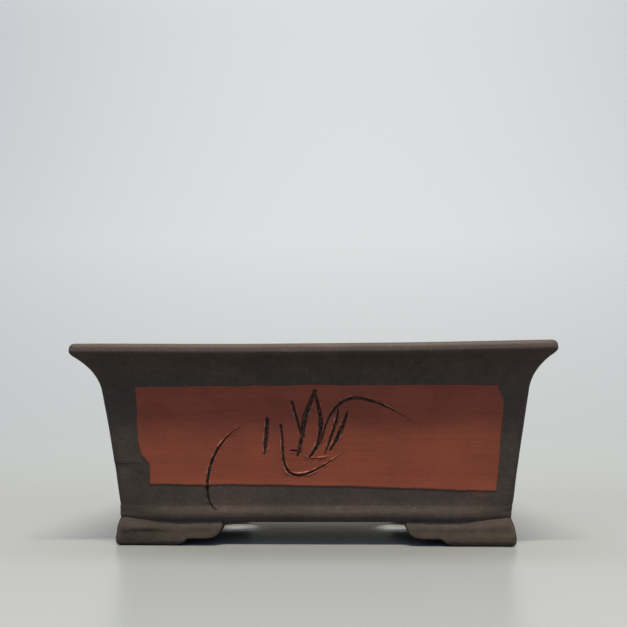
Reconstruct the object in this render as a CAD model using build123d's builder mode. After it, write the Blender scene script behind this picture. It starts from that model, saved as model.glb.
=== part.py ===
from build123d import *
from math import cos, radians, sin, sqrt
import os

# Rectangular unglazed stoneware bonsai pot, built from clay slabs.
# Four wall slabs are mitred at the corners and stand round a floor slab. Rim strips lie on the walls,
# bracket feet are luted under the corners, and a coil of clay is pressed into every inside seam.
# A skin of red clay slip fills a panel on each long wall.
# Origin: centre of the footprint, on the ground. +Z up, X along the long side, front face towards -Y.

# ---- Driving dimensions, millimetres and degrees ----
rim_length = 280.0  # over the lip, along X
rim_depth = 160.0  # over the lip, along Y
pot_height = 120.4

foot_height = 13.9  # underside of the body above the ground
lip_height = 7.8  # rim strips, from their seat on the walls to their top
lip_tip_height = 4.6  # widest point of the lip above that seat
lip_round = 3.0  # outer top edge of the rim
inner_edge_round = 2.0  # inner top edge of the rim
outer_corner_round = 4.0  # upright outer corners, in plan

wall_thickness = 7.0
floor_thickness = 8.0
waist_lean = 5.6  # lean of the wall from upright, at the waist
flare_lean = 7.4  # the same where the flare begins
lip_lean = 51.0  # the same where the flare meets the lip
flare_rise = 19.6  # height of the flare
roll_height = 11.0  # rolled bottom edge, from the underside to the waist
roll_widest = 4.9  # height at which the roll stands out most, above the underside
roll_round = 4.3  # bottom edge of the roll
roll_bulge = 1.0  # how far the roll stands out from the waist

foot_reach = 1.5  # how far the feet stand out from the waist
foot_widest = 5.6  # height at which a foot stands out most
foot_edge_round = 2.6  # bottom outer edge of the feet
foot_thickness = 12.0
front_contact = 35.0  # ground contact of a foot along the long wall
side_contact = 14.0  # the same along the short wall
toe_step_run = 10.0  # slope from the ground contact up to the raised toe
toe_rise = 4.4  # underside of the toe above the ground
toe_run = 12.0  # level part of the toe
toe_tip_run = 9.0  # slope from there up to the body

drain_hole_radius = 11.0
drain_hole_spacing = 110.0
wire_hole_radius = 2.5
wire_hole_spacing_x = 172.0
wire_hole_spacing_y = 62.0

level_tolerance = 0.01  # ends closer in height than this are level

coil_radius = 6.0  # cove left by the coil pressed into each inside seam

slip_thickness = 0.5
panel_top_margin = 17.2  # down from the rim's seat
panel_bottom_margin = 20.6  # up from the underside, at mid length
panel_left_margin = 19.0  # in from the end of the wall, where the flare begins
panel_right_margin = 14.4
panel_side_taper = 5.4  # how much further in each end is at the bottom
panel_skew = 1.8  # the bottom edge is this much lower at its right end, and higher at its left
panel_clip = 6.0  # clipped top corners
panel_nick = (4.5, 11.0)  # nick at the bottom left, along X and Z

# ---- Heights that follow ----
lip_z = pot_height - lip_height
flare_z = lip_z - flare_rise
waist_z = foot_height + roll_height
roll_z = foot_height + roll_widest
floor_z = foot_height + floor_thickness


def lean_direction(degrees):
    """Unit vector up the wall's section, for a wall that leans out by this much."""
    return (sin(radians(degrees)), cos(radians(degrees)))


def arc_radius(rise, low, high):
    """Radius of an arc that climbs by rise while its lean goes from low to high."""
    return rise / (sin(radians(high)) - sin(radians(low)))


def arc_reach(rise, low, high):
    """How far outwards that arc goes."""
    return arc_radius(rise, low, high) * (cos(radians(low)) - cos(radians(high)))


# ---- Section of the outside, as distances outwards from the waist ----
flare_radius = arc_radius(flare_rise, flare_lean, lip_lean)
flare_reach = arc_reach(flare_z - waist_z, waist_lean, flare_lean)
seat_reach = flare_reach + arc_reach(flare_rise, flare_lean, lip_lean)
tip_reach = seat_reach + lip_tip_height * (1 - cos(radians(lip_lean))) / sin(radians(lip_lean))

half_length = rim_length / 2 - tip_reach  # of the waist
half_depth = rim_depth / 2 - tip_reach
foot_half_length = half_length + foot_reach
foot_half_depth = half_depth + foot_reach
ridge_half_length = half_length - half_depth  # the mitre planes of the two ends meet above this line

# ---- Section of the inside: the outside moved in by the wall, and cut off level at the rim's seat ----
inner_waist = (
    -wall_thickness * cos(radians(waist_lean)),
    waist_z + wall_thickness * sin(radians(waist_lean)),
)
inner_flare = (
    flare_reach - wall_thickness * cos(radians(flare_lean)),
    flare_z + wall_thickness * sin(radians(flare_lean)),
)
inner_base_reach = inner_waist[0] - (inner_waist[1] - foot_height) * sin(radians(waist_lean))
flare_centre_reach = flare_reach + flare_radius * cos(radians(flare_lean))
flare_centre_z = flare_z - flare_radius * sin(radians(flare_lean))
mouth_reach = flare_centre_reach - sqrt(
    (flare_radius + wall_thickness) ** 2 - (lip_z - flare_centre_z) ** 2
)


def outer_outline(half):
    """Section of the whole body and rim before their edges are rounded, for waists at plus and minus half."""
    corner = (half + roll_bulge, foot_height)
    roll = (half + roll_bulge, roll_z)
    waist = (half, waist_z)
    flare = (half + flare_reach, flare_z)
    seat = (half + seat_reach, lip_z)
    tip = (half + tip_reach, lip_z + lip_tip_height)
    top = (half + tip_reach, pot_height)
    with BuildLine() as section:
        Polyline((0, foot_height), corner, roll)
        Spline(roll, waist, tangents=[(0, 1), lean_direction(waist_lean)])
        TangentArc(waist, flare, tangent=lean_direction(waist_lean))
        TangentArc(flare, seat, tangent=lean_direction(flare_lean))
        TangentArc(seat, tip, tangent=lean_direction(lip_lean))
        Polyline(tip, top, (0, pot_height))
        mirror(about=Plane.YZ)
    return section.edges()


def hollow_outline(half):
    """Section of the space between the walls, from the underside up to the rim's seat."""
    base = (half + inner_base_reach, foot_height)
    waist = (half + inner_waist[0], inner_waist[1])
    flare = (half + inner_flare[0], inner_flare[1])
    seat = (half + mouth_reach, lip_z)
    with BuildLine() as section:
        Polyline((0, foot_height), base, waist)
        TangentArc(waist, flare, tangent=lean_direction(waist_lean))
        TangentArc(flare, seat, tangent=lean_direction(flare_lean))
        Line(seat, (0, lip_z))
        mirror(about=Plane.YZ)
    return section.edges()


def slip_outline(half):
    """Section over the slip, which lies on the outside of the walls."""
    return outer_outline(half + slip_thickness)


def foot_outline(half):
    """Section over the outside of the feet, from the ground up into the roll of the body."""
    widest = (half + foot_reach, foot_widest)
    top = (half, waist_z)
    with BuildLine() as section:
        Polyline((0, 0), (half + foot_reach, 0), widest)
        Spline(widest, top, tangents=[(0, 1), (0, 1)])
        Line(top, (0, waist_z))
        mirror(about=Plane.YZ)
    return section.edges()


def four_sided(outline):
    """Solid with that section both along and across the pot, so that its corners are true mitres."""
    with BuildPart() as solid:
        with BuildSketch(Plane.XZ):
            make_face(outline(half_length))
        extrude(amount=rim_depth, both=True)
        with BuildSketch(Plane.YZ):
            make_face(outline(half_depth))
        extrude(amount=rim_length, both=True, mode=Mode.INTERSECT)
    return solid.part


def upright_edges(solid):
    """Edges that climb the four corners of a four-sided solid. Its other edges are level."""
    edges = solid.edges()
    return [edge for edge in edges if abs(edge.start_point().Z - edge.end_point().Z) > level_tolerance]


with BuildPart() as body_shape:
    add(four_sided(outer_outline))
    fillet(upright_edges(body_shape.part), outer_corner_round)
    fillet(body_shape.edges().group_by(Axis.Z)[0], roll_round)
    fillet(body_shape.edges().group_by(Axis.Z)[-1], lip_round)

with BuildPart() as hollow_shape:
    add(four_sided(hollow_outline))

with BuildPart() as cavity_shape:
    add(hollow_shape.part)
    split(bisect_by=Plane.XY.offset(floor_z), keep=Keep.TOP)
    fillet(upright_edges(cavity_shape.part) + cavity_shape.edges().group_by(Axis.Z)[0], coil_radius)

with BuildPart() as foot_shape:
    add(four_sided(foot_outline))
    fillet(upright_edges(foot_shape.part), outer_corner_round)
    fillet(foot_shape.edges().group_by(Axis.Z)[0], foot_edge_round)


def wedge_outline(side):
    """Plan of one side of the pot, between the mitre planes that part it from its neighbours."""
    far = rim_depth
    along = (ridge_half_length + far, far)
    outlines = {
        "front": [(-along[0], -far), (along[0], -far), (ridge_half_length, 0), (-ridge_half_length, 0)],
        "back": [(along[0], far), (-along[0], far), (-ridge_half_length, 0), (ridge_half_length, 0)],
        "left": [(-along[0], far), (-along[0], -far), (-ridge_half_length, 0)],
        "right": [(along[0], -far), (along[0], far), (ridge_half_length, 0)],
    }
    return Polyline(*outlines[side], close=True).edges()


def panel_points():
    """Corners of the slip panel in the front view, from the bottom left round to the right."""
    wall_end = half_length + flare_reach
    top = lip_z - panel_top_margin
    bottom = foot_height + panel_bottom_margin
    left = panel_left_margin - wall_end
    right = wall_end - panel_right_margin
    low_left = left + panel_side_taper
    low_right = right - panel_side_taper
    nick_x, nick_z = panel_nick
    return [
        (low_left + nick_x, bottom + panel_skew),
        (low_right, bottom - panel_skew),
        (right, top - panel_clip),
        (right - panel_clip, top),
        (left + panel_clip, top),
        (left, top - panel_clip),
        (low_left, bottom + nick_z),
        (low_left + nick_x, bottom + nick_z),
    ]


def leg_outline(contact):
    """Side view of one leg of a foot, from its outer end inwards: ground contact, step, toe and tip."""
    step = contact + toe_step_run
    toe = step + toe_run
    tip = toe + toe_tip_run
    with BuildLine() as outline:
        Line((0, 0), (contact, 0))
        TangentArc((contact, 0), (step, toe_rise), tangent=(1, 0))
        Line((step, toe_rise), (toe, toe_rise))
        TangentArc((toe, toe_rise), (tip, foot_height), tangent=(1, 0))
        Polyline((tip, foot_height), (tip, waist_z), (0, waist_z), (0, 0))
    return outline.edges()


def save(piece, name):
    piece.part.label = name
    export_step(piece.part, f"parts/{name}.step")


os.makedirs("parts", exist_ok=True)

# Floor slab, standing inside the walls, with its drainage holes and the smaller holes for tie wires.
with BuildPart() as floor_slab:
    add(hollow_shape.part)
    split(bisect_by=Plane.XY.offset(floor_z), keep=Keep.BOTTOM)
    with GridLocations(drain_hole_spacing, 0, 2, 1):
        Hole(drain_hole_radius)
    with GridLocations(wire_hole_spacing_x, wire_hole_spacing_y, 2, 2):
        Hole(wire_hole_radius)
save(floor_slab, "floor_slab")

# Wall slabs and the rim strips that lie on them, mitred at the corners.
with BuildPart() as wall_ring:
    add(body_shape.part)
    add(hollow_shape.part, mode=Mode.SUBTRACT)
    split(bisect_by=Plane.XY.offset(lip_z), keep=Keep.BOTTOM)

with BuildPart() as rim_ring:
    add(body_shape.part)
    split(bisect_by=Plane.XY.offset(lip_z), keep=Keep.TOP)
    with BuildSketch(Plane.XY.offset(lip_z)) as mouth:
        Rectangle(2 * (half_length + mouth_reach), 2 * (half_depth + mouth_reach))
        fillet(mouth.vertices(), coil_radius)
    extrude(amount=lip_height, mode=Mode.SUBTRACT)
    mouth_edges = rim_ring.faces().sort_by(Axis.Z)[-1].inner_wires()[0].edges()
    fillet(mouth_edges, inner_edge_round)

# Coils: what the rounded cavity leaves in the square hollow, along the floor and up the corners.
coil_z = floor_z + coil_radius
with BuildPart() as seam_coils:
    add(hollow_shape.part)
    split(bisect_by=Plane.XY.offset(floor_z), keep=Keep.TOP)
    add(cavity_shape.part, mode=Mode.SUBTRACT)

for side in ("front", "back", "left", "right"):
    with BuildPart() as wedge:
        with BuildSketch():
            with BuildLine():
                add(wedge_outline(side))
            make_face()
        extrude(amount=pot_height)

    with BuildPart() as wall:
        add(wall_ring.part)
        add(wedge.part, mode=Mode.INTERSECT)
    save(wall, f"{side}_wall")

    with BuildPart() as rim:
        add(rim_ring.part)
        add(wedge.part, mode=Mode.INTERSECT)
    save(rim, f"{side}_rim")

    with BuildPart() as floor_coil:
        add(seam_coils.part)
        split(bisect_by=Plane.XY.offset(coil_z), keep=Keep.BOTTOM)
        add(wedge.part, mode=Mode.INTERSECT)
    save(floor_coil, f"{side}_floor_coil")

# Front left foot: an L of two legs that share the corner, hugging the rolled edge of the body.
with BuildPart() as front_left_foot:
    inner_corner = (-foot_half_length, foot_thickness - foot_half_depth, 0)
    outer_corner = (-foot_half_length, -foot_half_depth, 0)
    with BuildSketch(Plane(origin=inner_corner, x_dir=(1, 0, 0), z_dir=(0, -1, 0))):
        make_face(leg_outline(front_contact))
    extrude(amount=foot_thickness)
    with BuildSketch(Plane(origin=outer_corner, x_dir=(0, 1, 0), z_dir=(1, 0, 0))):
        make_face(leg_outline(side_contact))
    extrude(amount=foot_thickness)
    add(foot_shape.part, mode=Mode.INTERSECT)
    add(body_shape.part, mode=Mode.SUBTRACT)

# Each corner has a foot below the body and a coil inside it.
for x_side, y_side, corner in ((-1, -1, "front_left"), (1, -1, "front_right"),
                               (-1, 1, "back_left"), (1, 1, "back_right")):
    with BuildPart() as foot:
        add(front_left_foot.part)
        if x_side > 0:
            mirror(about=Plane.YZ, mode=Mode.REPLACE)
        if y_side > 0:
            mirror(about=Plane.XZ, mode=Mode.REPLACE)
    save(foot, f"{corner}_foot")

    with BuildPart() as corner_coil:
        add(seam_coils.part)
        split(bisect_by=Plane.XY.offset(coil_z), keep=Keep.TOP)
        with BuildSketch(Plane.XY.offset(coil_z)):
            with Locations((x_side * half_length, y_side * half_depth)):
                Rectangle(half_length, half_depth)
        extrude(amount=pot_height, mode=Mode.INTERSECT)
    save(corner_coil, f"{corner}_corner_coil")

# Slip panels. The front one is the pattern for the one on the back.
with BuildPart() as slip_shape:
    add(four_sided(slip_outline))

with BuildPart() as front_panel:
    with BuildSketch(Plane.XZ):
        with BuildLine():
            Polyline(*panel_points(), close=True)
        make_face()
    extrude(amount=rim_depth)
    add(slip_shape.part, mode=Mode.INTERSECT)
    add(body_shape.part, mode=Mode.SUBTRACT)
save(front_panel, "front_panel")

with BuildPart() as back_panel:
    add(front_panel.part, rotation=(0, 0, 180))
save(back_panel, "back_panel")
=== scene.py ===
import math

import bpy
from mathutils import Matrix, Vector, kdtree, noise


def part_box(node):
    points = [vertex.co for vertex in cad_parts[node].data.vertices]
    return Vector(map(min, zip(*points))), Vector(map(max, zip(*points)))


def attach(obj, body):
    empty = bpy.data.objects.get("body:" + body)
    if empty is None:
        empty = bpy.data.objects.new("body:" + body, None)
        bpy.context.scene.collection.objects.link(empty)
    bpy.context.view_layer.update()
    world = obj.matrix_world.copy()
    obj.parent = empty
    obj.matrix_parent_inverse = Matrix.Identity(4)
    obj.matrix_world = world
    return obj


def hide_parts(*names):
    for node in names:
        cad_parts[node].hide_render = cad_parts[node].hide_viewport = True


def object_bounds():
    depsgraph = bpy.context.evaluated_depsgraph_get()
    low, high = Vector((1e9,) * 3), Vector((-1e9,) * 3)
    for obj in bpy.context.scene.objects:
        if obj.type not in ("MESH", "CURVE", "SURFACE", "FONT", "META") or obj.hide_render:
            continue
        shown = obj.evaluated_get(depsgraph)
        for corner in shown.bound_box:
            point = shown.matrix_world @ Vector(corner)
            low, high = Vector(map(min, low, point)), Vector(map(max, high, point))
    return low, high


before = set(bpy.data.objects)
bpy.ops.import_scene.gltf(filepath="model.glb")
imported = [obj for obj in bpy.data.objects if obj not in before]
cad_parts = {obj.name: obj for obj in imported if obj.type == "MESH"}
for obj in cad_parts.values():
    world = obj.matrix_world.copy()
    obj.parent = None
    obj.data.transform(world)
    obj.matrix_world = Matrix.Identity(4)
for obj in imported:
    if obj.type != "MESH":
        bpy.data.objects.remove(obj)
cad_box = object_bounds()

# ---- Floor slab -----------------------------------------------------------------------------------
# One slab of dark stoneware, cut to stand inside the walls and holed for drainage and for tie wires
# while it was leather hard. All the clay is pressed by hand, so no line of it is quite true.

MM = 0.001
noise.seed_set(4)  # so that the clay is pressed alike on every run
foot_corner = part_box("front_left_foot")[0]
seam_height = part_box("front_left_foot")[1].z / MM


def lift(node):
    """A merged copy of a piece of the frame, to be worked as clay."""
    bpy.ops.object.select_all(action="DESELECT")
    piece = bpy.data.objects.new(node + "_clay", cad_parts[node].data.copy())
    bpy.context.scene.collection.objects.link(piece)
    bpy.context.view_layer.objects.active = piece
    piece.select_set(True)
    piece.data.materials.clear()
    bpy.ops.object.mode_set(mode="EDIT")
    bpy.ops.mesh.select_all(action="SELECT")
    bpy.ops.mesh.customdata_custom_splitnormals_clear()
    bpy.ops.mesh.remove_doubles(threshold=0.01 * MM)
    bpy.ops.object.mode_set(mode="OBJECT")
    return piece


def pick(piece):
    """Makes a piece the only one that the next operator acts on."""
    bpy.ops.object.select_all(action="DESELECT")
    bpy.context.view_layer.objects.active = piece
    piece.select_set(True)


def score(piece, axis, step, low=-1.0, high=1.0):
    """Cuts a piece across at every step along an axis, between two places, so that it can bend there."""
    pick(piece)
    along = [vertex.co[axis] for vertex in piece.data.vertices]
    first = math.ceil(max(min(along), low) / step + 0.01)
    last = math.floor(min(max(along), high) / step - 0.01)
    normal = [0, 0, 0]
    normal[axis] = 1
    bpy.ops.object.mode_set(mode="EDIT")
    for count in range(first, last + 1):
        place = [0, 0, 0]
        place[axis] = count * step
        bpy.ops.mesh.select_all(action="SELECT")
        bpy.ops.mesh.bisect(plane_co=place, plane_no=normal)
    bpy.ops.object.mode_set(mode="OBJECT")


def smooth_step(low, high, value):
    share = min(max((value - low) / (high - low), 0.0), 1.0)
    return share * share * (3 - 2 * share)


def bell(middle, spread, value):
    return math.exp(-(((value - middle) / spread) ** 2))


def corner_distances(place):
    """How far inside the feet's outer faces a point is, from the ends and from the long sides, in mm."""
    return (abs(foot_corner.x) - abs(place.x)) / MM, (abs(foot_corner.y) - abs(place.y)) / MM


def outwards(place, axis, amount):
    """Moves a point away from the middle of the pot along an axis, by an amount in mm."""
    place[axis] += math.copysign(1.0, place[axis]) * amount * MM


def hand_worked(place):
    """Where pressing and paddling leaves a point of the true body. Lengths inside it are in mm."""
    from_end, from_side = corner_distances(place)
    along = max(from_end, from_side)
    across, height = place.x / MM, place.z / MM
    free = smooth_step(0, 25, height)

    large = noise.noise_vector(place / (75 * MM)) * 0.5 * MM
    small = noise.noise_vector(place / (19 * MM) + Vector((7, 3, 5))) * 0.15 * MM
    moved = place + Vector((large.x + small.x, large.y + small.y, 0.4 * (large.z + small.z) * free))

    # The lip of the long sides sags, and the right end flares a little less than the left.
    long_share = 1 - (place.x / cad_box[1].x) ** 2
    moved.z -= 1.0 * MM * long_share * smooth_step(80, 117, height)
    moved.x -= 0.6 * MM * smooth_step(60, 140, across) * smooth_step(86, 114, height)

    # The foot of the pot stands a little to the right of its mouth, and the left end is the steeper.
    moved.x += 0.7 * MM * smooth_step(110, 10, height)
    steeper = smooth_step(-60, -115, across) * smooth_step(16, 28, height) * smooth_step(118, 104, height)
    moved.x += 1.1 * MM * steeper

    # The seam over the feet runs up to each corner, where the rolled edge above it is pinched to nothing.
    roll_height, pinched_height = 20.5, 18.8
    near_corner = 1 - smooth_step(0, 30, along)
    moved.z += (2.4 * near_corner - 0.5 * bell(42, 16, along)) * MM * bell(seam_height + 1, 5.5, height)
    for axis, from_corner, inwards in ((1, from_end, from_side), (0, from_side, from_end)):
        pinch = smooth_step(36, 0, from_corner) * bell(pinched_height, 4.4, height)
        bulge = 0.5 * bell(roll_height, 3.6, height) - 2.2 * pinch
        outwards(moved, axis, bulge * smooth_step(7, 3, inwards))

    # The lip is paddled outside: it is full just below its tip, and leans back above it on the long sides.
    lip_tip, lip_fullest = 115.8, 114.7
    for axis, inwards in ((0, from_end), (1, from_side)):
        outer_share = smooth_step(-12, -17, inwards)
        leaning = 0.18 * max(0.0, height - lip_tip) * axis
        outwards(moved, axis, outer_share * (0.4 * bell(lip_fullest, 1.5, height) - leaning))

    # A fold was pressed into the left corner, half way up the wall.
    fold = smooth_step(-104, -112, across) * (smooth_step(50.5, 48.5, height) * smooth_step(38, 46, height))
    moved.y += 0.45 * MM * fold * (place.y < 0)

    # The true size is the most that the pressed clay may reach, so the whole is drawn in by under 1%.
    return Vector((moved.x * 0.9965, moved.y * 0.994, moved.z * (1 - 0.0035 * free)))


def work(piece):
    """Presses a whole piece as hand_worked says."""
    for vertex in piece.data.vertices:
        vertex.co = hand_worked(vertex.co)


def colour(code):
    """An sRGB hex colour, as linear red, green and blue with full alpha."""
    parts = [int(code[i : i + 2], 16) / 255 for i in (1, 3, 5)]
    return [p / 12.92 if p <= 0.04045 else ((p + 0.055) / 1.055) ** 2.4 for p in parts] + [1.0]


def add_node(tree, kind, inputs=None, **settings):
    """Adds a node with its settings. Each input is a value, or the output that feeds it."""
    node = tree.nodes.new(kind)
    for name, value in settings.items():
        setattr(node, name, value)
    for name, value in (inputs or {}).items():
        socket = node.inputs[name]
        if isinstance(value, bpy.types.NodeSocket):
            tree.links.new(value, socket)
        else:
            socket.default_value = value
    return node


def new_material(name):
    material = bpy.data.materials.new(name)
    material.use_nodes = True
    material.node_tree.nodes.clear()
    return material, material.node_tree


# Unglazed purple-brown stoneware, burnished and fired: satin, in patches of brown and purple, with fine
# grit and a few pale grains. The grit is drawn at 0.9 mm, twice its size, so that it shows. Where the
# clay is torn, by a knife or by a thumb nail, it is dull and crumbly, and painted darker as painted shade
# in those grooves and that hollow. The lip is scuffed from handling, and painted paler in patches: scuff
# wear, and painted highlight on the lit lip. A dark smudge and a smear of slip are left on the front wall.
clay, tree = new_material("burnished_purple_brown_stoneware")
place = add_node(tree, "ShaderNodeTexCoord").outputs["Object"]
torn_and_shade = add_node(tree, "ShaderNodeAttribute", attribute_name="torn_and_shade").outputs["Fac"]
patches = add_node(tree, "ShaderNodeTexNoise", {"Vector": place, "Scale": 1 / (34 * MM), "Detail": 5.0})
tone = add_node(tree, "ShaderNodeMapRange", {"Value": patches.outputs["Fac"], "From Min": 0.35,
                                             "From Max": 0.65})
brown = add_node(tree, "ShaderNodeMix", {"Factor": tone.outputs["Result"], "A": colour("#423c36"),
                                         "B": colour("#4c423d")}, data_type="RGBA")
mottle = add_node(tree, "ShaderNodeTexNoise", {"Vector": place, "Scale": 1 / (5 * MM), "Detail": 6.0,
                                               "Roughness": 0.7})
cloudy = add_node(tree, "ShaderNodeMapRange", {"Value": mottle.outputs["Fac"], "From Min": 0.3,
                                               "From Max": 0.7, "To Min": 0.82, "To Max": 1.16})
grit = add_node(tree, "ShaderNodeTexNoise", {"Vector": place, "Scale": 1 / (0.9 * MM), "Detail": 3.0,
                                             "Roughness": 0.75})
gritty = add_node(tree, "ShaderNodeMapRange", {"Value": grit.outputs["Fac"], "From Min": 0.3,
                                               "From Max": 0.7, "To Min": 0.8, "To Max": 1.2})
strength = add_node(tree, "ShaderNodeMath", {0: cloudy.outputs["Result"], 1: gritty.outputs["Result"]},
                    operation="MULTIPLY")
shaded = add_node(tree, "ShaderNodeVectorMath", {0: brown.outputs["Result"],
                                                 "Scale": strength.outputs["Value"]}, operation="SCALE")
grains = add_node(tree, "ShaderNodeTexVoronoi", {"Vector": place, "Scale": 1 / (6.5 * MM)})
grain_size = add_node(tree, "ShaderNodeMapRange", {"Value": grains.outputs["Distance"], "From Min": 0.04,
                                                   "From Max": 0.075, "To Min": 0.55, "To Max": 0.0})
speckled = add_node(tree, "ShaderNodeMix", {"Factor": grain_size.outputs["Result"],
                                            "A": shaded.outputs["Vector"], "B": colour("#8a7f75")},
                    data_type="RGBA")
crumbs = add_node(tree, "ShaderNodeTexNoise", {"Vector": place, "Scale": 1 / (1.1 * MM), "Detail": 4.0,
                                               "Roughness": 0.8})
crumbly = add_node(tree, "ShaderNodeMapRange", {"Value": crumbs.outputs["Fac"], "From Min": 0.47,
                                                "From Max": 0.66})
# Torn clay is drawn dark and crumbly: darker than the clay, as painted shade in grooves and hollows.
torn_tone_with_shade = add_node(tree, "ShaderNodeMix", {"Factor": crumbly.outputs["Result"], "A": colour("#1f1c19"),
                                             "B": colour("#5a4f47")}, data_type="RGBA")
surface = add_node(tree, "ShaderNodeMix", {"Factor": torn_and_shade, "A": speckled.outputs["Result"],
                                           "B": torn_tone_with_shade.outputs["Result"]}, data_type="RGBA")
worn_patches = add_node(tree, "ShaderNodeMapRange", {"Value": mottle.outputs["Fac"], "From Min": 0.4,
                                                     "From Max": 0.56})
smudge = ((-104, -65, 42), 10, "#2c2723", 0.75)
smear = ((99, -61, 31), 5, "#7d4436", 0.5)
for spot, reach, hue, share in (smudge, smear):
    away = add_node(tree, "ShaderNodeVectorMath", {0: place, 1: [value * MM for value in spot]},
                    operation="DISTANCE")
    fading = add_node(tree, "ShaderNodeMapRange", {"Value": away.outputs["Value"],
                                                   "From Min": 0.4 * reach * MM, "From Max": reach * MM,
                                                   "To Min": share, "To Max": 0.0})
    patchy = add_node(tree, "ShaderNodeMath", {0: fading.outputs["Result"],
                                               1: worn_patches.outputs["Result"]}, operation="MULTIPLY")
    surface = add_node(tree, "ShaderNodeMix", {"Factor": patchy.outputs["Value"],
                                               "A": surface.outputs["Result"], "B": colour(hue)},
                       data_type="RGBA")
height = add_node(tree, "ShaderNodeSeparateXYZ", {"Vector": place}).outputs["Z"]
on_lip = add_node(tree, "ShaderNodeMapRange", {"Value": height, "From Min": 113.2 * MM,
                                               "From Max": 114.8 * MM, "To Max": 0.95})
wear_and_highlight = add_node(tree, "ShaderNodeMapRange", {"Value": mottle.outputs["Fac"], "From Min": 0.25,
                                               "From Max": 0.6, "To Min": 0.75})
handled = add_node(tree, "ShaderNodeMath", {0: on_lip.outputs["Result"], 1: wear_and_highlight.outputs["Result"]},
                   operation="MULTIPLY")
surface = add_node(tree, "ShaderNodeMix", {"Factor": handled.outputs["Value"], "A": surface.outputs["Result"],
                                           "B": colour("#463c3a")}, data_type="RGBA")
# The lip's scuffs are painted pale: scuff wear, and painted highlight on the lit lip.
scuffs_and_highlight = add_node(tree, "ShaderNodeMapRange", {"Value": crumbs.outputs["Fac"], "From Min": 0.55,
                                               "From Max": 0.72, "To Max": 0.45})
scuffed_and_highlit = add_node(tree, "ShaderNodeMath", {0: on_lip.outputs["Result"], 1: scuffs_and_highlight.outputs["Result"]},
                   operation="MULTIPLY")
surface = add_node(tree, "ShaderNodeMix", {"Factor": scuffed_and_highlit.outputs["Value"], "A": surface.outputs["Result"],
                                           "B": colour("#8a7f7b")}, data_type="RGBA")
drawn_out = add_node(tree, "ShaderNodeMapping", {"Vector": place, "Scale": (0.06, 0.06, 1.0)})
streaks = add_node(tree, "ShaderNodeTexNoise", {"Vector": drawn_out.outputs["Vector"],
                                                "Scale": 1 / (1.6 * MM), "Detail": 4.0})
rough = add_node(tree, "ShaderNodeMapRange", {"Value": streaks.outputs["Fac"], "From Min": 0.3,
                                              "From Max": 0.7, "To Min": 0.46, "To Max": 0.66})
dull = add_node(tree, "ShaderNodeMath", {0: rough.outputs["Result"], 1: torn_and_shade}, operation="ADD",
                use_clamp=True)
pressed = add_node(tree, "ShaderNodeBump", {"Height": mottle.outputs["Fac"], "Distance": 0.4 * MM,
                                            "Strength": 0.5})
burnished = add_node(tree, "ShaderNodeBump", {"Height": streaks.outputs["Fac"], "Distance": 0.12 * MM,
                                              "Strength": 0.4, "Normal": pressed.outputs["Normal"]})
sandy = add_node(tree, "ShaderNodeBump", {"Height": grit.outputs["Fac"], "Distance": 0.2 * MM,
                                          "Strength": 0.6, "Normal": burnished.outputs["Normal"]})
ragged = add_node(tree, "ShaderNodeMath", {0: crumbs.outputs["Fac"], 1: torn_and_shade}, operation="MULTIPLY")
bumps = add_node(tree, "ShaderNodeBump", {"Height": ragged.outputs["Value"], "Distance": 0.9 * MM,
                                          "Strength": 0.8, "Normal": sandy.outputs["Normal"]})
shader = add_node(tree, "ShaderNodeBsdfPrincipled", {"Base Color": surface.outputs["Result"],
                                                     "Roughness": dull.outputs["Value"],
                                                     "Specular IOR Level": 0.18,
                                                     "Normal": bumps.outputs["Normal"]})
add_node(tree, "ShaderNodeOutputMaterial", {"Surface": shader.outputs["BSDF"]})


def hand_over(piece, node, material, angle=40):
    """Gives a finished piece its shading and material, and puts it in the place of a piece of the frame."""
    pick(piece)
    bpy.ops.object.shade_smooth_by_angle(angle=math.radians(angle))
    piece.data.materials.append(material)
    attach(piece, "root")
    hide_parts(node)


floor_slab = lift("floor_slab")
soften = floor_slab.modifiers.new("soft_edge", "BEVEL")
soften.width = 0.8 * MM
soften.segments = 3
soften.limit_method = "ANGLE"
soften.angle_limit = math.radians(60)
bpy.ops.object.modifier_apply(modifier="soft_edge")
for axis in (0, 1):
    score(floor_slab, axis, 6 * MM)
work(floor_slab)
hand_over(floor_slab, "floor_slab", clay)

# ---- Wall slabs and rim strips --------------------------------------------------------------------
# Four slabs of the same clay, cut, leaned outwards and mitred, with a strip laid on each for the lip.
# The seams were luted with slip, then the outside was pressed, paddled and burnished into one skin.

rim_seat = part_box("front_rim")[0].z
ridge_half_length = abs(foot_corner.x) - abs(foot_corner.y)
sides = ("front", "back", "left", "right")


def on_seam(place):
    """True on the mitre planes and on the rim's seat."""
    off_mitre = abs(abs(place.x) - ridge_half_length - abs(place.y))
    return off_mitre < 0.05 * MM or abs(place.z - rim_seat) < 0.02 * MM


slabs = {}
for side in sides:
    for kind in ("wall", "rim"):
        slab = lift(f"{side}_{kind}")
        long_way = 0 if side in ("front", "back") else 1
        score(slab, long_way, 4 * MM)
        if kind == "wall":
            score(slab, 2, 4 * MM, 24 * MM, 93 * MM)
            score(slab, 2, 1.3 * MM, 45 * MM, 53 * MM)
        else:
            score(slab, 2, 0.7 * MM)
        slabs[f"{side}_{kind}"] = slab



def deselect(*groups):
    """Deselects vertices, edges or faces, given as groups of them."""
    for group in groups:
        for element in group:
            element.select = False


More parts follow.
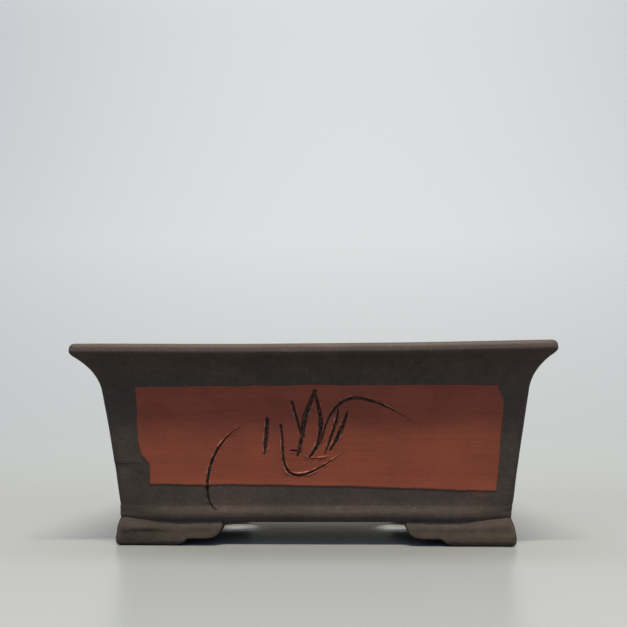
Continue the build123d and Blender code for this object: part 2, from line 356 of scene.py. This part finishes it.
# One skin over all eight, open at the seams, from which each slab takes its normals beside a seam.
skin = None
for slab in slabs.values():
    cover = slab.copy()
    cover.data = slab.data.copy()
    bpy.context.scene.collection.objects.link(cover)
    skin = skin or cover
    pick(skin)
    cover.select_set(True)
    if cover is not skin:
        bpy.ops.object.join()
for face in skin.data.polygons:
    face.select = all(on_seam(skin.data.vertices[i].co) for i in face.vertices) and on_seam(face.center)
deselect(skin.data.vertices, skin.data.edges)
bpy.ops.object.mode_set(mode="EDIT")
bpy.ops.mesh.select_mode(type="FACE")
bpy.ops.mesh.delete(type="FACE")
bpy.ops.mesh.select_all(action="SELECT")
bpy.ops.mesh.remove_doubles(threshold=0.03 * MM)
bpy.ops.mesh.select_mode(type="VERT")
bpy.ops.object.mode_set(mode="OBJECT")
work(skin)
bpy.ops.object.shade_smooth_by_angle(angle=math.radians(40))
skin.hide_render = True


def borrow_normals(slab):
    """Shades a slab like the whole skin beside its seams."""
    pick(slab)
    transfer = slab.modifiers.new("skin_normals", "DATA_TRANSFER")
    transfer.object = skin
    transfer.use_loop_data = True
    transfer.data_types_loops = {"CUSTOM_NORMAL"}
    transfer.loop_mapping = "POLYINTERP_NEAREST"
    transfer.vertex_group = "beside_seam"
    bpy.ops.object.modifier_apply(modifier="skin_normals")


for name, slab in slabs.items():
    beside_seam = slab.vertex_groups.new(name="beside_seam")
    beside_seam.add([vertex.index for vertex in slab.data.vertices if on_seam(vertex.co)], 1.0, "REPLACE")
    work(slab)
    hand_over(slab, name, clay)
    borrow_normals(slab)

# ---- Coils in the inside seams -----------------------------------------------------------------------
# Thin coils of the same clay, pressed with a finger into the seams of floor and walls and smoothed.

corners = [f"{end}_{side}" for end in ("front", "back") for side in ("left", "right")]
for name in [f"{side}_floor_coil" for side in sides] + [f"{corner}_corner_coil" for corner in corners]:
    coil = lift(name)
    upright = "corner" in name
    long_way = 0 if name.startswith(("front", "back")) else 1
    score(coil, 2 if upright else long_way, 5 * MM)
    work(coil)
    hand_over(coil, name, clay)

# ---- Feet ---------------------------------------------------------------------------------------------
# Four brackets of the same clay with a cloud-shaped outline, luted under the corners. Each is pressed
# round at its edges, and the front left one keeps the hollow of a thumb under a sharp arched ridge.

foot_voxel = 0.55 * MM
# In mm: the roundings along sole and seam, how far the faces lean in, and how deep the thumb pressed.
sole_round = 3.6
seam_round = 1.2
foot_lean = 1.1
thumb_depth = 0.7


def rounded(depth, height, radius):
    """A point of a square corner moved on to a rounding, as its new depth from the face and height."""
    if depth > radius or height > radius:
        return depth, height
    reach = math.hypot(radius - depth, radius - height)
    if reach <= radius:
        return depth, height
    return radius - (radius - depth) * radius / reach, radius - (radius - height) * radius / reach


for order, corner in enumerate(corners):
    foot = lift(f"{corner}_foot")
    even_clay = foot.modifiers.new("even_clay", "REMESH")
    even_clay.mode = "VOXEL"
    even_clay.voxel_size = foot_voxel
    bpy.ops.object.modifier_apply(modifier="even_clay")
    worn = foot.modifiers.new("worn", "SMOOTH")
    worn.factor = 0.5
    worn.iterations = 8
    bpy.ops.object.modifier_apply(modifier="worn")
    torn_and_shade_share = foot.data.attributes.new("torn_and_shade", "FLOAT", "POINT")
    for vertex in foot.data.vertices:
        place = vertex.co.copy()
        from_end, from_side = corner_distances(place)
        height = place.z / MM
        along, depth = max(from_end, from_side), min(from_end, from_side)

        # The edge along the sole and the edge along the seam are rounded on both outer faces.
        end_depth, end_height = rounded(from_end, height, sole_round)
        side_depth, side_height = rounded(from_side, height, sole_round)
        end_depth, end_top = rounded(end_depth, seam_height - end_height, seam_round)
        side_depth, side_top = rounded(side_depth, seam_height - side_height, seam_round)
        above = end_height > height or side_height > height
        place.z = (max(end_height, side_height) if above else seam_height - max(end_top, side_top)) * MM
        outwards(place, 0, from_end - end_depth)
        outwards(place, 1, from_side - side_depth)

        # Both faces lean in a little as they rise, to meet the wall.
        leaned = foot_lean * smooth_step(4.5, 13.5, height)
        outwards(place, 0, -leaned * smooth_step(8, 3, from_end))
        outwards(place, 1, -leaned * smooth_step(8, 3, from_side))

        # The thumb went in below an arched ridge. Every foot is full below its seam and slightly lumpy.
        skin_share = smooth_step(6, 2.5, depth)
        ridge = 7.8 + 2.6 * math.sin(math.pi * min(along / 42, 1.0)) ** 0.8
        thumb = smooth_step(-0.3, 1.9, ridge - height) * bell(0, 12, ridge - height)
        thumb *= skin_share * smooth_step(0.5, 6, along) * smooth_step(41, 20, along)
        thumb *= 1.0 if corner == "front_left" else 0.12
        swell = 0.5 * bell(11, 2.2, height)
        lumps = noise.noise(place / (6 * MM) + Vector((order * 3, 0, 0))) * 0.22
        push = (swell - thumb_depth * thumb + lumps) * skin_share * smooth_step(0.6, 3, height)
        side_share = smooth_step(-3, 3, from_end - from_side)
        outwards(place, 0, push * (1 - side_share))
        outwards(place, 1, push * side_share)
        # The thumb hollow is marked as torn clay, which paints it darker as painted shade.
        torn_and_shade_share.data[vertex.index].value = 0.5 * thumb if corner == "front_left" else 0.0
        vertex.co = hand_worked(place)
    hand_over(foot, f"{corner}_foot", clay, angle=180)

# ---- Slip panels --------------------------------------------------------------------------------------
# Red clay slip, brushed on inside a line cut by hand, and scraped level to a third of a millimetre.
# Its ends waver, its top corners are clipped unevenly, and the knife took a nick out at the bottom left.

slip_thickness = 0.3 * MM
sunk_in = 0.15 * MM
panel_rise = 4.2
panel_low, panel_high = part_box("front_panel")
brush_column = 1.6 * MM
brush_row = 1.1 * MM


def wall_face(across, height):
    """Where the outside of the front wall is, at a place across it and a height."""
    start = Vector((across, cad_box[0].y - 20 * MM, height))
    hit, place, _, _ = slabs["front_wall"].ray_cast(start, Vector((0, 1, 0)))
    return place.y if hit else 0.0


# Iron-red slip, brushed: dull, with faint level brush lines 1.6 mm apart, and fine grain drawn at 0.9 mm,
# twice its size, so that it shows. Along its lower edge it is painted paler, as painted light. Where the
# knife cut it, it is crumbly and painted dark, as painted shade in the groove, and the burr that the knife
# pushed up beside a stroke is painted pale, as a painted highlight.
red_slip, tree = new_material("brushed_iron_red_slip")
place = add_node(tree, "ShaderNodeTexCoord").outputs["Object"]
torn_and_shade = add_node(tree, "ShaderNodeAttribute", attribute_name="torn_and_shade").outputs["Fac"]
patches = add_node(tree, "ShaderNodeTexNoise", {"Vector": place, "Scale": 1 / (26 * MM), "Detail": 5.0})
tone = add_node(tree, "ShaderNodeMapRange", {"Value": patches.outputs["Fac"], "From Min": 0.35,
                                             "From Max": 0.65})
base = add_node(tree, "ShaderNodeMix", {"Factor": tone.outputs["Result"], "A": colour("#814335"),
                                        "B": colour("#8b4a37")}, data_type="RGBA")
height = add_node(tree, "ShaderNodeSeparateXYZ", {"Vector": place}).outputs["Z"]
# The slip's lower edge is painted paler, as painted light.
lower_edge_light = add_node(tree, "ShaderNodeMapRange", {"Value": height, "From Min": panel_low.z + 4 * MM,
                                                   "From Max": panel_low.z + 11 * MM, "To Min": 0.55,
                                                   "To Max": 0.0})
lit_lower_edge = add_node(tree, "ShaderNodeMix", {"Factor": lower_edge_light.outputs["Result"], "A": base.outputs["Result"],
                                          "B": colour("#97523c")}, data_type="RGBA")
drawn_out = add_node(tree, "ShaderNodeMapping", {"Vector": place, "Scale": (0.04, 1.0, 1.0)})
bristles = add_node(tree, "ShaderNodeTexNoise", {"Vector": drawn_out.outputs["Vector"],
                                                 "Scale": 1 / (1.6 * MM), "Detail": 4.0})
brushed = add_node(tree, "ShaderNodeMapRange", {"Value": bristles.outputs["Fac"], "From Min": 0.3,
                                                "From Max": 0.7, "To Min": 0.93, "To Max": 1.07})
grain = add_node(tree, "ShaderNodeTexNoise", {"Vector": place, "Scale": 1 / (0.9 * MM), "Detail": 3.0,
                                              "Roughness": 0.75})
grainy = add_node(tree, "ShaderNodeMapRange", {"Value": grain.outputs["Fac"], "From Min": 0.3,
                                               "From Max": 0.7, "To Min": 0.88, "To Max": 1.12})
strength = add_node(tree, "ShaderNodeMath", {0: brushed.outputs["Result"], 1: grainy.outputs["Result"]},
                    operation="MULTIPLY")
shaded = add_node(tree, "ShaderNodeVectorMath", {0: lit_lower_edge.outputs["Result"],
                                                 "Scale": strength.outputs["Value"]}, operation="SCALE")
crumbs = add_node(tree, "ShaderNodeTexNoise", {"Vector": place, "Scale": 1 / (1.1 * MM), "Detail": 4.0,
                                               "Roughness": 0.8})
crumbly = add_node(tree, "ShaderNodeMapRange", {"Value": crumbs.outputs["Fac"], "From Min": 0.47,
                                                "From Max": 0.66})
# Cut slip is drawn dark, not red, as painted shade in the groove.
torn_tone_with_shade = add_node(tree, "ShaderNodeMix", {"Factor": crumbly.outputs["Result"], "A": colour("#241b17"),
                                             "B": colour("#7c5a4c")}, data_type="RGBA")
burr = add_node(tree, "ShaderNodeAttribute", attribute_name="burr").outputs["Fac"]
# The burr is painted pale, as a painted highlight where it catches the light.
burr_highlight = add_node(tree, "ShaderNodeMapRange", {"Value": burr, "From Min": 0.14, "From Max": 0.45,
                                               "To Max": 0.65})
wear_and_highlight = add_node(tree, "ShaderNodeMix", {"Factor": burr_highlight.outputs["Result"], "A": shaded.outputs["Vector"],
                                          "B": colour("#c08571")}, data_type="RGBA")
surface = add_node(tree, "ShaderNodeMix", {"Factor": torn_and_shade, "A": wear_and_highlight.outputs["Result"],
                                           "B": torn_tone_with_shade.outputs["Result"]}, data_type="RGBA")
lines = add_node(tree, "ShaderNodeBump", {"Height": bristles.outputs["Fac"], "Distance": 0.1 * MM,
                                          "Strength": 0.4})
bumps = add_node(tree, "ShaderNodeBump", {"Height": grain.outputs["Fac"], "Distance": 0.15 * MM,
                                          "Strength": 0.5, "Normal": lines.outputs["Normal"]})
shader = add_node(tree, "ShaderNodeBsdfPrincipled", {"Base Color": surface.outputs["Result"],
                                                     "Roughness": 0.72, "Specular IOR Level": 0.2,
                                                     "Normal": bumps.outputs["Normal"]})
add_node(tree, "ShaderNodeOutputMaterial", {"Surface": shader.outputs["BSDF"]})

bpy.ops.object.select_all(action="DESELECT")
columns = round((panel_high.x - panel_low.x) / brush_column)
rows = round((panel_high.z - panel_low.z) / brush_row)
bpy.ops.mesh.primitive_grid_add(x_subdivisions=columns, y_subdivisions=rows, size=1)
front_slip = bpy.context.object
front_slip.name = "front_slip"
# Shares across and up the panel become places. Margins, slants and the nick are in mm.
for vertex in front_slip.data.vertices:
    across, up = vertex.co.x + 0.5, vertex.co.y + 0.5
    waver = noise.noise(Vector((across * 9, up * 5, 0.3))) * 0.5 * MM
    fine = noise.noise(Vector((across * 60, up * 22, 2.7))) * 0.22 * MM
    nick = smooth_step(0.31, 0.19, up)
    left = panel_low.x + (3.4 + 2.8 * (1 - up) + 4.1 * nick) * MM + 0.7 * MM * math.sin(9 * up)
    right = panel_high.x - (0.8 + 3.6 * (1 - up) ** 1.3) * MM - 3.6 * MM * smooth_step(0.84, 1.0, up)
    bottom = panel_low.z + (panel_rise - 4.0 * across + 1.2 * math.sin(math.pi * across)) * MM
    top = panel_high.z - 0.4 * MM + 0.5 * MM * math.sin(3 * across)
    vertex.co = Vector((left + (right - left) * across + waver + fine, 0,
                        bottom + (top - bottom) * up + waver + fine))
for vertex in front_slip.data.vertices:
    vertex.co.y = wall_face(vertex.co.x, vertex.co.z) - slip_thickness
if front_slip.data.polygons[0].normal.y > 0:
    front_slip.data.flip_normals()
thicken = front_slip.modifiers.new("thickness", "SOLIDIFY")
thicken.thickness = slip_thickness + sunk_in
thicken.offset = -1
bpy.ops.object.modifier_apply(modifier="thickness")
soften = front_slip.modifiers.new("soft_edge", "BEVEL")
soften.width = 0.15 * MM
soften.segments = 2
soften.limit_method = "ANGLE"
soften.angle_limit = math.radians(60)
bpy.ops.object.modifier_apply(modifier="soft_edge")

back_slip = front_slip.copy()
back_slip.data = front_slip.data.copy()
back_slip.name = "back_slip"
bpy.context.scene.collection.objects.link(back_slip)
pick(back_slip)
bpy.ops.object.mode_set(mode="EDIT")
bpy.ops.mesh.select_all(action="SELECT")
bpy.ops.transform.rotate(value=math.pi, orient_axis="Z", center_override=(0, 0, 0))
bpy.ops.object.mode_set(mode="OBJECT")
for vertex in back_slip.data.vertices:
    front_depth = vertex.co.y + wall_face(-vertex.co.x, vertex.co.z)
    start = Vector((vertex.co.x, cad_box[1].y + 20 * MM, vertex.co.z))
    _, place, _, _ = slabs["back_wall"].ray_cast(start, Vector((0, -1, 0)))
    vertex.co.y = place.y + front_depth
hand_over(front_slip, "front_panel", red_slip, angle=35)
hand_over(back_slip, "back_panel", red_slip, angle=35)

# ---- Incised orchid -----------------------------------------------------------------------------------
# A spray of orchid leaves, cut freehand with a bamboo knife through the red slip into the dark clay.
# Each stroke is a ragged groove with a burr beside it. One leaf runs off the slip onto the bare wall.

# Each stroke has its widest width, the shares of it where it starts and ends, and its places across and
# up the wall, all in mm.
strokes = [
    (1.8, 0.1, 0.35, [(-37, 74.5), (-48, 68.5), (-57, 58), (-62, 45), (-63.5, 31), (-61.5, 24),
                      (-57.5, 21.5)]),
    (2.4, 0.9, 0.2, [(-26.2, 76), (-26.3, 69.5), (-27.3, 61.5), (-28.2, 54.5)]),
    (1.7, 0.9, 0.1, [(-18.2, 72.5), (-17, 64), (-17.8, 54), (-15.5, 45), (-10.5, 41.7), (0, 43.6),
                     (10, 50), (24, 59)]),
    (1.7, 0.8, 0.3, [(-11.5, 86), (-9.5, 79), (-7, 70.5), (-5.5, 62)]),
    (3.3, 0.7, 0.4, [(2, 92), (-2.5, 82), (-5.8, 71.5), (-5.8, 62), (-8.5, 54)]),
    (3.0, 0.5, 0.4, [(2.3, 90), (5.2, 79.5), (6, 69), (4.3, 60), (-1.5, 53)]),
    (1.8, 0.3, 0.2, [(15.7, 82.5), (15.2, 74.5), (11.2, 64.5), (7.4, 54.5)]),
    (2.7, 0.2, 0.3, [(21, 80.5), (18.8, 72), (15.4, 64.5), (10.6, 57)]),
    (1.9, 0.4, 0.2, [(5.6, 61), (7.5, 71.5), (12, 81.5), (21, 88.5), (31, 88.2), (46, 82.5),
                     (65, 70.8)]),
    (1.3, 0.2, 0.7, [(-13.5, 57), (-10, 57.6), (-6.5, 56.2)]),
    (0.5, 0.4, 0.1, [(-6, 53.6), (-1, 52), (4.5, 51.6), (11, 54)]),
]
cut_depth = 0.95
burr_above, burr_below = 0.42, 0.25

# Each stroke's line is a curve made a mesh. Its points keep how far the knife cut to either side, and how
# fully it pushed up a burr, which fades at the stroke's ends.
traces = []
for number, (width, start, finish, places) in enumerate(strokes):
    bpy.ops.object.select_all(action="DESELECT")
    line = bpy.data.curves.new(f"stroke_{number}", "CURVE")
    line.dimensions = "3D"
    line.resolution_u = 24
    spline = line.splines.new("NURBS")
    spline.points.add(len(places) - 1)
    for point, (across, height) in zip(spline.points, places):
        point.co = (across * MM, 0, height * MM, 1)
    spline.order_u = 4
    spline.use_endpoint_u = True
    path = bpy.data.objects.new(f"stroke_{number}", line)
    bpy.context.scene.collection.objects.link(path)
    pick(path)
    bpy.ops.object.convert(target="MESH")
    path = bpy.context.object
    last = len(path.data.vertices) - 1
    for vertex in path.data.vertices:
        share = vertex.index / last
        ends = start * (1 - share) + finish * share
        fullness = ends + (1 - ends) * math.sin(math.pi * share) ** 0.8
        traces.append((vertex.co.copy(), fullness * width / 2, smooth_step(0, 0.12, min(share, 1 - share))))
    bpy.data.objects.remove(path)

stroke_points = kdtree.KDTree(len(traces))
for number, (place, _, _) in enumerate(traces):
    stroke_points.insert(place, number)
stroke_points.balance()


def beside_stroke(place):
    """How far outside the nearest stroke's ragged edge a place is, and its burr's height, in mm."""
    nearest, number, reach = stroke_points.find((place.x, 0, place.z))
    _, half_width, pushed = traces[number]
    torn_edge = Vector((place.x, 0, place.z)) / MM
    ragged = 0.22 * noise.noise(torn_edge / 1.1) + 0.12 * noise.noise(torn_edge / 0.45)
    lower_side = (place.x - nearest.x) - (place.z - nearest.z) > 0
    lumpy = max(0.0, 0.5 + 1.6 * noise.noise(torn_edge / 3.5))
    outside = reach / MM - half_width + ragged * min(1.0, half_width)
    return outside, pushed * lumpy * (burr_below if lower_side else burr_above) * bell(0.3, 0.45, outside)


def refine(piece, cuts, below):
    """Divides a piece's faces beside the strokes, up to a height."""
    pick(piece)
    deselect(piece.data.vertices, piece.data.edges)
    for face in piece.data.polygons:
        upright = face.normal.y < -0.5 or (piece is front_slip and face.normal.y > 0.5)
        reach = 1.4 + face.area ** 0.5 / MM / 2
        face.select = upright and face.center.z < below and beside_stroke(face.center)[0] < reach
    bpy.ops.object.mode_set(mode="EDIT")
    bpy.ops.mesh.select_mode(type="FACE")
    bpy.ops.mesh.subdivide(number_cuts=cuts)
    bpy.ops.mesh.select_mode(type="VERT")
    bpy.ops.object.mode_set(mode="OBJECT")


# Below the slip's lower edge the knife cuts bare wall. Under the slip the wall is cut a little wider and
# deeper, so that it stays behind the slip.
slip_edge = panel_low.z + panel_rise * MM
wider, deeper = 0.7, 0.3
refine(front_slip, 4, panel_high.z)
refine(slabs["front_wall"], 5, panel_high.z)
refine(slabs["front_wall"], 1, slip_edge)
for piece in (front_slip, slabs["front_wall"]):
    for name in ("torn_and_shade", "burr"):
        piece.data.attributes.new(name, "FLOAT", "POINT")
    torn_and_shade_share, burr_share = (piece.data.attributes[name].data for name in ("torn_and_shade", "burr"))
    facings = [vertex.normal.y for vertex in piece.data.vertices]
    for vertex, facing in zip(piece.data.vertices, facings):
        outside, burr = beside_stroke(vertex.co)
        if outside > 2.5 or (piece is not front_slip and facing > -0.5):
            continue
        covered = 0.0
        if piece is not front_slip:
            covered = smooth_step(slip_edge - 0.3 * MM, slip_edge + 0.3 * MM, vertex.co.z)
        outside -= wider * covered
        depth = (cut_depth + deeper * covered) * smooth_step(0.1, -0.55, outside)
        depth += 0.12 * noise.noise(vertex.co / (0.8 * MM)) * smooth_step(0, -0.4, outside)
        # Inside a groove the clay is marked torn, which paints it dark as painted shade.
        if facing < -0.3:
            torn_and_shade_share[vertex.index].value = smooth_step(0.12, -0.1, outside)
            # The burr's share paints it pale, as a painted highlight.
            burr_share[vertex.index].value = burr
            depth -= burr * (1 - covered)
        vertex.co.y += depth * MM
    pick(piece)
    bpy.ops.object.shade_smooth_by_angle(angle=math.radians(60))
borrow_normals(slabs["front_wall"])
bpy.data.objects.remove(skin)

# ---- Studio ---------------------------------------------------------------------------------------------
# Pale paper that lies flat under the pot and curves up behind it, a long soft lamp high in front, a
# second lamp on the paper behind, and a level camera at two thirds of the pot's height. The paper is
# dark to all rays but the camera's, as a dark stand would be, so that it doesn't light the pot. Its flat
# part is satin, so that the gap under the pot mirrors the paper behind.

paper_edge, paper_stretch, paper_rise, paper_bend = 1.3, 2.5, 2.6, 1.2
bpy.ops.object.select_all(action="DESELECT")
bpy.ops.mesh.primitive_plane_add(size=2 * paper_edge)
paper = bpy.context.object
paper.name = "studio_paper"
bpy.ops.object.mode_set(mode="EDIT")
bpy.ops.transform.resize(value=(paper_stretch, 1, 1))
bpy.ops.object.mode_set(mode="OBJECT")


def select_edges(piece, wanted):
    """Selects only the edges whose ends are both wanted."""
    deselect(piece.data.vertices, piece.data.edges, piece.data.polygons)
    for edge in piece.data.edges:
        edge.select = all(wanted(piece.data.vertices[i].co) for i in edge.vertices)


select_edges(paper, lambda end: end.y > 0.9 * paper_edge)
bpy.ops.object.mode_set(mode="EDIT")
bpy.ops.mesh.select_mode(type="EDGE")
bpy.ops.mesh.extrude_region_move(TRANSFORM_OT_translate={"value": (0, 0, paper_rise)})
bpy.ops.object.mode_set(mode="OBJECT")
select_edges(paper, lambda end: end.y > 0.9 * paper_edge and end.z < 0.1)
bpy.ops.object.mode_set(mode="EDIT")
bpy.ops.mesh.bevel(offset=paper_bend, segments=32, affect="EDGES")
bpy.ops.mesh.select_mode(type="VERT")
bpy.ops.object.mode_set(mode="OBJECT")
bpy.ops.object.shade_smooth()
pale_paper, tree = new_material("pale_studio_paper")
seen = add_node(tree, "ShaderNodeLightPath").outputs["Is Camera Ray"]
place = add_node(tree, "ShaderNodeTexCoord").outputs["Object"]
height = add_node(tree, "ShaderNodeSeparateXYZ", {"Vector": place}).outputs["Z"]
rising = add_node(tree, "ShaderNodeMapRange", {"Value": height, "From Max": 0.5})
pale = add_node(tree, "ShaderNodeMix", {"Factor": rising.outputs["Result"], "A": colour("#8f959b"),
                                        "B": colour("#a1a6ad")}, data_type="RGBA")
unseen = add_node(tree, "ShaderNodeMix", {"Factor": rising.outputs["Result"], "A": colour("#6a6866"),
                                          "B": colour("#b0b2b2")}, data_type="RGBA")
tone = add_node(tree, "ShaderNodeMix", {"Factor": seen, "A": unseen.outputs["Result"],
                                        "B": pale.outputs["Result"]}, data_type="RGBA")
sheen = add_node(tree, "ShaderNodeMapRange", {"Value": height, "From Max": 0.05, "To Min": 0.5,
                                              "To Max": 0.0})
shader = add_node(tree, "ShaderNodeBsdfPrincipled", {"Base Color": tone.outputs["Result"], "Roughness": 0.3,
                                                     "Specular IOR Level": sheen.outputs["Result"]})
add_node(tree, "ShaderNodeOutputMaterial", {"Surface": shader.outputs["BSDF"]})
paper.data.materials.append(pale_paper)

world = bpy.data.worlds.new("soft_room")
bpy.context.scene.world = world
world.use_nodes = True
world.node_tree.nodes.clear()
room = add_node(world.node_tree, "ShaderNodeBackground", {"Color": colour("#bccbe8"), "Strength": 0.8})
add_node(world.node_tree, "ShaderNodeOutputWorld", {"Surface": room.outputs["Background"]})
bpy.context.scene.view_settings.view_transform = "Standard"


def add_lamp(name, size, power, hue, place, aim):
    """Adds a flat lamp at a place, aimed at another."""
    lamp = bpy.data.lights.new(name, "AREA")
    lamp.color = colour(hue)[:3]
    lamp.shape = "RECTANGLE"
    lamp.size, lamp.size_y = size
    lamp.energy = power
    stand = bpy.data.objects.new(name, lamp)
    bpy.context.scene.collection.objects.link(stand)
    stand.location = place
    stand.rotation_euler = (Vector(aim) - Vector(place)).to_track_quat("-Z", "Y").to_euler()


key_height = math.radians(69.8)
key_distance = 2.2
key_place = (0.1, -key_distance * math.cos(key_height), key_distance * math.sin(key_height))
add_lamp("key_lamp", (1.3, 0.08), 66, "#fff0cf", key_place, (0, 0, 0.08))
add_lamp("backdrop_lamp", (3.0, 0.8), 32, "#fffaf2", (0, 0.2, 2.0), (0, 1.3, 0.6))

camera = bpy.data.objects.new("camera", bpy.data.cameras.new("camera"))
bpy.context.scene.collection.objects.link(camera)
bpy.context.scene.camera = camera
turn, roll = math.radians(2.19), math.radians(0.22)
distance, eye_height = 433.1 * MM, 77.9 * MM
camera.location = (distance * math.sin(turn), -distance * math.cos(turn), eye_height)
camera.rotation_euler = (math.pi / 2, roll, turn)
camera.data.sensor_width = 36
camera.data.lens = 36.06
camera.data.shift_x = -0.0038
camera.data.shift_y = 0.1626
camera.data.clip_start = 0.01
